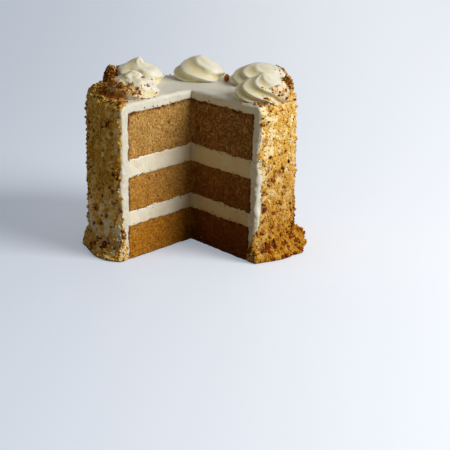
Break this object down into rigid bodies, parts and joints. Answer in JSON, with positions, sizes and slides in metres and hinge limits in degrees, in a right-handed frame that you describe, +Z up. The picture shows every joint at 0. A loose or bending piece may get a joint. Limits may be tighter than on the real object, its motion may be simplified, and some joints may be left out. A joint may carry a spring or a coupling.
{
  "type": "layer cake",
  "caption": "Round carrot layer cake with cream filling and a nut-crumb side, piped rosettes on top, and a wide wedge cut out to show the sponge.",
  "frame": {"origin": "middle of the footprint, on the underside", "axes": "+Z up, -Y towards the missing slice, +X to the right as the slice is faced"},
  "size_m": [0.1818, 0.167, 0.1446],
  "materials": {
    "sponge": "matt open crumb, baked brown at the edges",
    "cream": "smooth, satin cream cheese icing",
    "crumb_coat": "satin icing with toasted crumbs and nuts pressed in",
    "crumbs": "loose toasted crumbs and chopped nuts"
  },
  "bodies": {
    "root": {"sponge_bottom": "sponge", "filling_lower": "cream", "sponge_middle": "sponge", "filling_upper": "cream", "sponge_top": "sponge", "icing": "crumb_coat", "crumb_heap": "crumbs", "rosette_left_front": "cream", "rosette_left_rear": "cream", "rosette_back": "cream", "rosette_right_rear": "cream", "rosette_right_front": "cream"}
  },
  "joints": []
}
